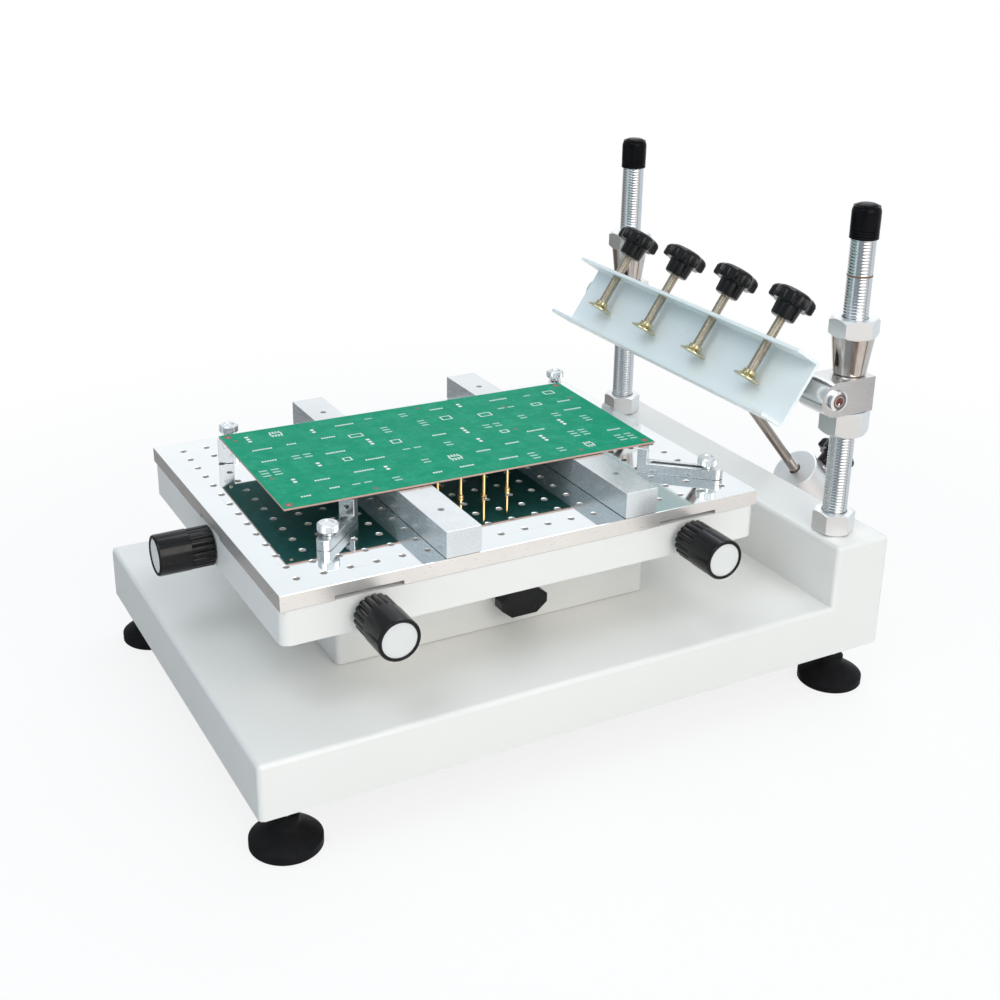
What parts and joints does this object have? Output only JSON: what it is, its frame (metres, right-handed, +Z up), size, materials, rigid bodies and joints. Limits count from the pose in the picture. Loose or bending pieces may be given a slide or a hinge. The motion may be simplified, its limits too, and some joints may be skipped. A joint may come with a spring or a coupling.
{
  "type": "tabletop screen printing press",
  "caption": "Bench stencil printing press: perforated work table on a fine adjusting slide, board on support bars, hinged clamp channel on threaded columns with a balance weight.",
  "frame": {"origin": "on the floor, under the middle of the press's overall length and of its base's width", "axes": "+Z up, +Y from the operator's front towards the columns and the balance weight, +X towards the side with the two adjusting knobs and the table lock"},
  "size_m": [0.3905, 0.6798, 0.4091],
  "materials": {
    "cream_paint": "smooth cream powder coat, semi-gloss",
    "channel_paint": "pale grey-green powder coat, semi-gloss",
    "polished_aluminium": "polished, mirror-like",
    "milled_aluminium": "milled, satin",
    "bright_chrome": "bright chrome plating",
    "machined_steel": "machined, lightly oiled",
    "blackened_steel": "blackened",
    "yellow_zinc": "pale yellow zinc plating",
    "brass": "turned, bright",
    "black_plastic": "moulded black plastic, semi-gloss",
    "black_rubber": "moulded black rubber",
    "green_board": "green solder mask over glass-fibre laminate"
  },
  "bodies": {
    "base": {"base_pan": "cream_paint", "pedestal": "cream_paint", "table_case": "cream_paint", "column_left": "bright_chrome", "base_nut_left": "bright_chrome", "under_nut_left": "bright_chrome", "column_cap_left": "black_plastic", "column_right": "bright_chrome", "base_nut_right": "bright_chrome", "under_nut_right": "bright_chrome", "column_cap_right": "black_plastic"},
    "cross_slide_body": {"cross_slide": "machined_steel"},
    "feed_slide_body": {"feed_slide": "machined_steel"},
    "feed_block_body": {"feed_block": "machined_steel"},
    "work_table": {"work_plate": "polished_aluminium", "support_pin_1": "brass", "support_pin_2": "brass", "support_pin_3": "brass", "support_pin_4": "brass"},
    "side_knob_front_body": {"side_knob_front": "black_plastic"},
    "side_knob_rear_body": {"side_knob_rear": "black_plastic"},
    "front_knob_body": {"front_knob": "black_plastic"},
    "lock_knob_body": {"lock_knob": "black_plastic"},
    "bar_front": {"support_bar_front": "milled_aluminium"},
    "bar_rear": {"support_bar_rear": "milled_aluminium"},
    "board": {"circuit_board": "green_board"},
    "head": {"hinge_block_left": "milled_aluminium", "pivot_bolt_left": "bright_chrome", "hinge_block_right": "milled_aluminium", "pivot_bolt_right": "bright_chrome"},
    "channel": {"clamp_channel": "channel_paint", "hinge_lug_left": "blackened_steel", "hinge_lug_right": "blackened_steel", "balance_rod": "bright_chrome"},
    "weight": {"balance_weight": "bright_chrome"},
    "weight_knob_body": {"weight_knob": "black_plastic"},
    "arm_front_left": {"locating_arm_front_left": "milled_aluminium"},
    "thumb_front_left": {"thumb_screw_front_left": "bright_chrome"},
    "foot_front_left_body": {"foot_front_left": "black_rubber"},
    "arm_front_right": {"locating_arm_front_right": "milled_aluminium"},
    "thumb_front_right": {"thumb_screw_front_right": "bright_chrome"},
    "foot_front_right_body": {"foot_front_right": "black_rubber"},
    "arm_rear_left": {"locating_arm_rear_left": "milled_aluminium"},
    "thumb_rear_left": {"thumb_screw_rear_left": "bright_chrome"},
    "foot_rear_left_body": {"foot_rear_left": "black_rubber"},
    "arm_rear_right": {"locating_arm_rear_right": "milled_aluminium"},
    "thumb_rear_right": {"thumb_screw_rear_right": "bright_chrome"},
    "foot_rear_right_body": {"foot_rear_right": "black_rubber"},
    "lower_nut_left_body": {"lower_nut_left": "bright_chrome"},
    "cone_nut_left_body": {"cone_nut_left": "bright_chrome"},
    "lower_nut_right_body": {"lower_nut_right": "bright_chrome"},
    "cone_nut_right_body": {"cone_nut_right": "bright_chrome"},
    "pad_1": {"clamp_pad_1": "yellow_zinc"},
    "screw_1": {"clamp_screw_1": "black_plastic"},
    "pad_2": {"clamp_pad_2": "yellow_zinc"},
    "screw_2": {"clamp_screw_2": "black_plastic"},
    "pad_3": {"clamp_pad_3": "yellow_zinc"},
    "screw_3": {"clamp_screw_3": "black_plastic"},
    "pad_4": {"clamp_pad_4": "yellow_zinc"},
    "screw_4": {"clamp_screw_4": "black_plastic"}
  },
  "joints": [
    {"name": "side_knob_front_turn", "type": "hinge", "parent": "base", "child": "side_knob_front_body", "pos_m": [0.1495, -0.23, 0.1593], "axis": [1, 0, 0], "range_deg": [-2881, 2881]},
    {"name": "table_shift", "type": "slide", "parent": "base", "child": "cross_slide_body", "axis": [1, 0, 0], "range_m": [-0.008, 0.008]},
    {"name": "side_knob_rear_turn", "type": "hinge", "parent": "base", "child": "side_knob_rear_body", "pos_m": [0.1495, 0.038, 0.1593], "axis": [1, 0, 0], "range_deg": [-2881, 2881]},
    {"name": "front_knob_turn", "type": "hinge", "parent": "base", "child": "front_knob_body", "pos_m": [0, -0.2957, 0.1593], "axis": [0, -1, 0], "range_deg": [-2881, 2881]},
    {"name": "table_feed", "type": "slide", "parent": "cross_slide_body", "child": "feed_slide_body", "axis": [0, 1, 0], "range_m": [-0.008, 0.008]},
    {"name": "feed_block_slide", "type": "slide", "parent": "base", "child": "feed_block_body", "axis": [0, 1, 0], "range_m": [-0.008, 0.008]},
    {"name": "table_turn", "type": "hinge", "parent": "feed_slide_body", "child": "work_table", "pos_m": [0, -0.096, 0.1725], "axis": [0, 0, 1], "range_deg": [-1.5, 1.5]},
    {"name": "lock_knob_turn", "type": "hinge", "parent": "base", "child": "lock_knob_body", "pos_m": [0.091, -0.0835, 0.1117], "axis": [1, 0, 0], "range_deg": [0, 270]},
    {"name": "front_bar_slide", "type": "slide", "parent": "work_table", "child": "bar_front", "axis": [0, 1, 0], "range_m": [-0.012, 0.01]},
    {"name": "rear_bar_slide", "type": "slide", "parent": "work_table", "child": "bar_rear", "axis": [0, 1, 0], "range_m": [-0.03, 0.02]},
    {"name": "board_lift", "type": "slide", "parent": "work_table", "child": "board", "axis": [0, 0, 1], "range_m": [0, 0.05]},
    {"name": "arm_front_right_turn", "type": "hinge", "parent": "work_table", "child": "arm_front_right", "pos_m": [0.09, -0.236, 0.1853], "axis": [0, 0, 1], "range_deg": [-30, 30]},
    {"name": "thumb_front_right_turn", "type": "hinge", "parent": "arm_front_right", "child": "thumb_front_right", "pos_m": [0.09, -0.236, 0.1936], "axis": [0, 0, 1], "continuous": true},
    {"name": "arm_rear_right_turn", "type": "hinge", "parent": "work_table", "child": "arm_rear_right", "pos_m": [0.11, 0.084, 0.1853], "axis": [0, 0, 1], "range_deg": [-30, 10]},
    {"name": "thumb_rear_right_turn", "type": "hinge", "parent": "arm_rear_right", "child": "thumb_rear_right", "pos_m": [0.11, 0.084, 0.1936], "axis": [0, 0, 1], "continuous": true},
    {"name": "arm_front_left_turn", "type": "hinge", "parent": "work_table", "child": "arm_front_left", "pos_m": [-0.13, -0.236, 0.1853], "axis": [0, 0, 1], "range_deg": [-25, 25]},
    {"name": "thumb_front_left_turn", "type": "hinge", "parent": "arm_front_left", "child": "thumb_front_left", "pos_m": [-0.13, -0.236, 0.1936], "axis": [0, 0, 1], "continuous": true},
    {"name": "arm_rear_left_turn", "type": "hinge", "parent": "work_table", "child": "arm_rear_left", "pos_m": [-0.13, 0.084, 0.1853], "axis": [0, 0, 1], "range_deg": [-25, 25]},
    {"name": "thumb_rear_left_turn", "type": "hinge", "parent": "arm_rear_left", "child": "thumb_rear_left", "pos_m": [-0.13, 0.084, 0.1936], "axis": [0, 0, 1], "continuous": true},
    {"name": "head_lift", "type": "slide", "parent": "base", "child": "head", "axis": [0, 0, 1], "range_m": [-0.012, 0.05]},
    {"name": "lower_nut_left_turn", "type": "hinge", "parent": "head", "child": "lower_nut_left_body", "pos_m": [-0.1575, 0.18, 0.23475], "axis": [0, 0, 1], "range_deg": [-1729, 7201]},
    {"name": "cone_nut_left_turn", "type": "hinge", "parent": "head", "child": "cone_nut_left_body", "pos_m": [-0.1575, 0.18, 0.2893], "axis": [0, 0, 1], "range_deg": [-1729, 7201]},
    {"name": "lower_nut_right_turn", "type": "hinge", "parent": "head", "child": "lower_nut_right_body", "pos_m": [0.1575, 0.18, 0.23475], "axis": [0, 0, 1], "range_deg": [-1729, 7201]},
    {"name": "cone_nut_right_turn", "type": "hinge", "parent": "head", "child": "cone_nut_right_body", "pos_m": [0.1575, 0.18, 0.2893], "axis": [0, 0, 1], "range_deg": [-1729, 7201]},
    {"name": "channel_tilt", "type": "hinge", "parent": "head", "child": "channel", "pos_m": [0, 0.156, 0.2593], "axis": [-1, 0, 0], "range_deg": [-33.8, 6]},
    {"name": "clamp_1_travel", "type": "slide", "parent": "channel", "child": "pad_1", "axis": [0, 0.5563, 0.831], "range_m": [-0.0175, 0.025]},
    {"name": "clamp_1_turn", "type": "hinge", "parent": "pad_1", "child": "screw_1", "pos_m": [-0.1095, 0.12675, 0.27888], "axis": [0, 0.5563, 0.831], "range_deg": [-5041, 7201]},
    {"name": "clamp_2_travel", "type": "slide", "parent": "channel", "child": "pad_2", "axis": [0, 0.5563, 0.831], "range_m": [-0.0175, 0.025]},
    {"name": "clamp_2_turn", "type": "hinge", "parent": "pad_2", "child": "screw_2", "pos_m": [-0.0365, 0.12675, 0.27888], "axis": [0, 0.5563, 0.831], "range_deg": [-5041, 7201]},
    {"name": "clamp_3_travel", "type": "slide", "parent": "channel", "child": "pad_3", "axis": [0, 0.5563, 0.831], "range_m": [-0.0175, 0.025]},
    {"name": "clamp_3_turn", "type": "hinge", "parent": "pad_3", "child": "screw_3", "pos_m": [0.0365, 0.12675, 0.27888], "axis": [0, 0.5563, 0.831], "range_deg": [-5041, 7201]},
    {"name": "clamp_4_travel", "type": "slide", "parent": "channel", "child": "pad_4", "axis": [0, 0.5563, 0.831], "range_m": [-0.0175, 0.025]},
    {"name": "clamp_4_turn", "type": "hinge", "parent": "pad_4", "child": "screw_4", "pos_m": [0.1095, 0.12675, 0.27888], "axis": [0, 0.5563, 0.831], "range_deg": [-5041, 7201]},
    {"name": "weight_slide", "type": "slide", "parent": "channel", "child": "weight", "axis": [0, 0.6334, -0.7738], "range_m": [-0.025, 0.01]},
    {"name": "weight_knob_turn", "type": "hinge", "parent": "weight", "child": "weight_knob_body", "pos_m": [0, 0.29059, 0.09486], "axis": [0, 0.7738, 0.6334], "continuous": true},
    {"name": "foot_front_left_screw", "type": "slide", "parent": "base", "child": "foot_front_left_body", "axis": [0, 0, 1], "range_m": [-0.01, 0]},
    {"name": "foot_front_right_screw", "type": "slide", "parent": "base", "child": "foot_front_right_body", "axis": [0, 0, 1], "range_m": [-0.01, 0]},
    {"name": "foot_rear_left_screw", "type": "slide", "parent": "base", "child": "foot_rear_left_body", "axis": [0, 0, 1], "range_m": [-0.01, 0]},
    {"name": "foot_rear_right_screw", "type": "slide", "parent": "base", "child": "foot_rear_right_body", "axis": [0, 0, 1], "range_m": [-0.01, 0]}
  ],
  "couplings": [
    {"joint": "side_knob_front_turn", "follows": "table_shift", "rad_per_m": -6283.2},
    {"joint": "side_knob_rear_turn", "follows": "table_shift", "rad_per_m": -6283.2},
    {"joint": "front_knob_turn", "follows": "table_feed", "rad_per_m": 6283.2},
    {"joint": "feed_block_slide", "follows": "table_feed", "ratio": 1},
    {"joint": "lower_nut_left_turn", "follows": "head_lift", "rad_per_m": 2513.3},
    {"joint": "cone_nut_left_turn", "follows": "head_lift", "rad_per_m": 2513.3},
    {"joint": "lower_nut_right_turn", "follows": "head_lift", "rad_per_m": 2513.3},
    {"joint": "cone_nut_right_turn", "follows": "head_lift", "rad_per_m": 2513.3},
    {"joint": "clamp_1_turn", "follows": "clamp_1_travel", "rad_per_m": 5026.5},
    {"joint": "clamp_2_turn", "follows": "clamp_2_travel", "rad_per_m": 5026.5},
    {"joint": "clamp_3_turn", "follows": "clamp_3_travel", "rad_per_m": 5026.5},
    {"joint": "clamp_4_turn", "follows": "clamp_4_travel", "rad_per_m": 5026.5}
  ]
}
